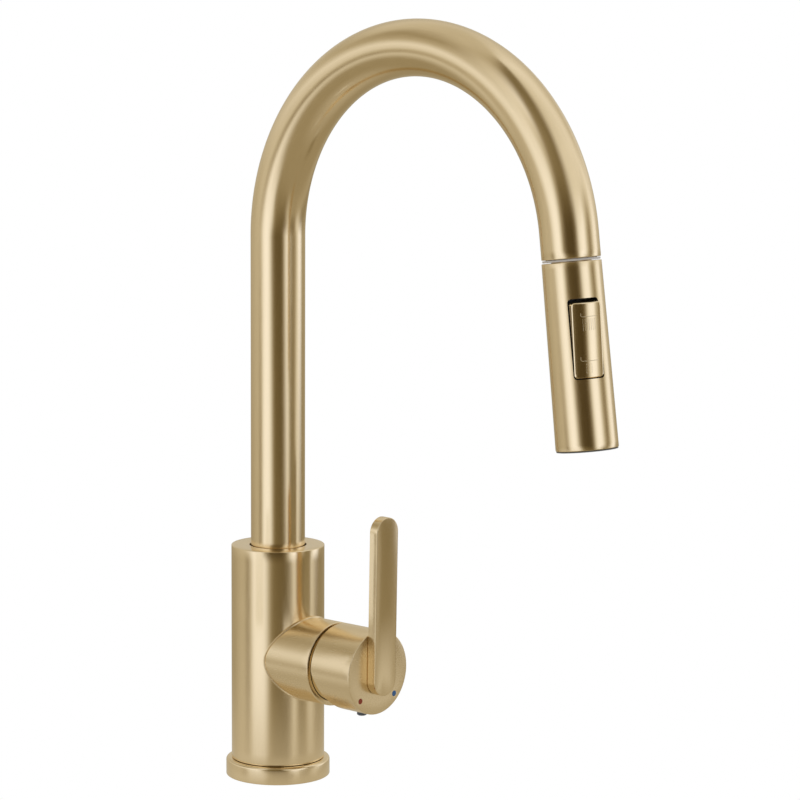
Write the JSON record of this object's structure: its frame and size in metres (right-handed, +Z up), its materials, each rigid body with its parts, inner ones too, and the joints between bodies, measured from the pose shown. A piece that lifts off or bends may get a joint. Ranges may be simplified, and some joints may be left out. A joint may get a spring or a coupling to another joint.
{
  "type": "pull-down kitchen faucet",
  "caption": "Single-hole high-arc kitchen faucet with a front lever and a pull-down spray head that has a rocker diverter.",
  "frame": {"origin": "centre of the foot ring's underside, where it stands on the deck and the shank enters its hole", "axes": "+Z up along the column, the spout and the lever point towards -Y, +X is the cold side"},
  "size_m": [0.056, 0.2558, 0.5007],
  "materials": {
    "brushed_gold": "satin champagne gold, brushed along each piece",
    "raw_brass": "turned and threaded, bare",
    "stainless_steel": "turned, satin",
    "white_acetal": "moulded, slight sheen",
    "grey_plastic": "moulded, satin",
    "ceramic": "lapped alumina",
    "black_rubber": "moulded, dull",
    "grey_silicone": "moulded, soft sheen",
    "nylon_braid": "fine braid over a rubber tube",
    "slate_plug": "moulded, satin",
    "red_enamel": "enamel fill",
    "blue_enamel": "enamel fill"
  },
  "bodies": {
    "deck_body": {"base_flange": "brushed_gold", "base_gasket": "black_rubber", "mounting_shank": "raw_brass", "deck_rubber_washer": "black_rubber", "deck_steel_washer": "stainless_steel", "mounting_nut": "raw_brass", "body_shell": "brushed_gold", "side_housing": "brushed_gold", "valve_body": "raw_brass", "cartridge_seal": "black_rubber", "cartridge_case": "white_acetal", "fixed_ceramic_disc": "ceramic", "cartridge_retaining_nut": "raw_brass", "trim_dome": "brushed_gold", "spout_upper_bush": "white_acetal", "spout_lower_bush": "white_acetal", "hose_tail_connector": "raw_brass"},
    "turret": {"cartridge_turret": "grey_plastic", "stem_pivot_pin": "stainless_steel"},
    "discs": {"moving_ceramic_disc": "ceramic", "disc_carrier": "grey_plastic"},
    "handle": {"cartridge_stem": "stainless_steel", "handle_cap": "brushed_gold", "lever": "brushed_gold", "handle_set_screw": "stainless_steel", "set_screw_plug": "slate_plug", "hot_mark": "red_enamel", "cold_mark": "blue_enamel"},
    "spout": {"spout_tube": "brushed_gold", "spout_retaining_ring": "stainless_steel", "dock_bush": "white_acetal"},
    "hose_end": {"hose_coupling": "raw_brass", "coupling_washer": "black_rubber", "spray_hose": "nylon_braid"},
    "spray_head": {"spray_shell": "brushed_gold", "spray_core": "grey_plastic", "spray_core_oring": "black_rubber", "check_valve": "white_acetal", "nozzle_plate": "grey_plastic", "nozzle_membrane": "grey_silicone", "aerator": "white_acetal"},
    "rocker": {"rocker_button": "brushed_gold", "rocker_pin": "stainless_steel"},
    "diverter": {"diverter_slide": "white_acetal"}
  },
  "joints": [
    {"name": "spout_swivel", "type": "hinge", "parent": "deck_body", "child": "spout", "pos_m": [0, 0, 0.1], "axis": [0, 0, 1], "continuous": true},
    {"name": "spray_pull", "type": "slide", "parent": "spout", "child": "hose_end", "axis": [0, -0.1253, -0.9921], "range_m": [0, 0.17], "stiffness_N_per_m": 10, "springref_m": -0.6, "deforming": ["spray_hose"]},
    {"name": "spray_swivel", "type": "hinge", "parent": "hose_end", "child": "spray_head", "pos_m": [0, -0.20099, 0.29235], "axis": [0, -0.1253, -0.9921], "continuous": true},
    {"name": "rocker_tilt", "type": "hinge", "parent": "spray_head", "child": "rocker", "pos_m": [-0.00574, -0.21454, 0.25475], "axis": [-0.8358, 0.5447, -0.0688], "range_deg": [0, 13.8]},
    {"name": "diverter_slide", "type": "slide", "parent": "spray_head", "child": "diverter", "axis": [0, -0.1253, -0.9921], "range_m": [0, 0.0018]},
    {"name": "handle_rotate", "type": "hinge", "parent": "deck_body", "child": "turret", "pos_m": [0, -0.0345, 0.06685], "axis": [0, -1, 0], "range_deg": [-45, 45]},
    {"name": "handle_lift", "type": "hinge", "parent": "turret", "child": "handle", "pos_m": [0, -0.0345, 0.06685], "axis": [1, 0, 0], "range_deg": [0, 22]},
    {"name": "disc_slide", "type": "slide", "parent": "turret", "child": "discs", "axis": [0, 0, 1], "range_m": [0, 0.0023]}
  ],
  "couplings": [
    {"joint": "diverter_slide", "follows": "rocker_tilt", "m_per_rad": 0.00703},
    {"joint": "disc_slide", "follows": "handle_lift", "m_per_rad": 0.0055}
  ]
}
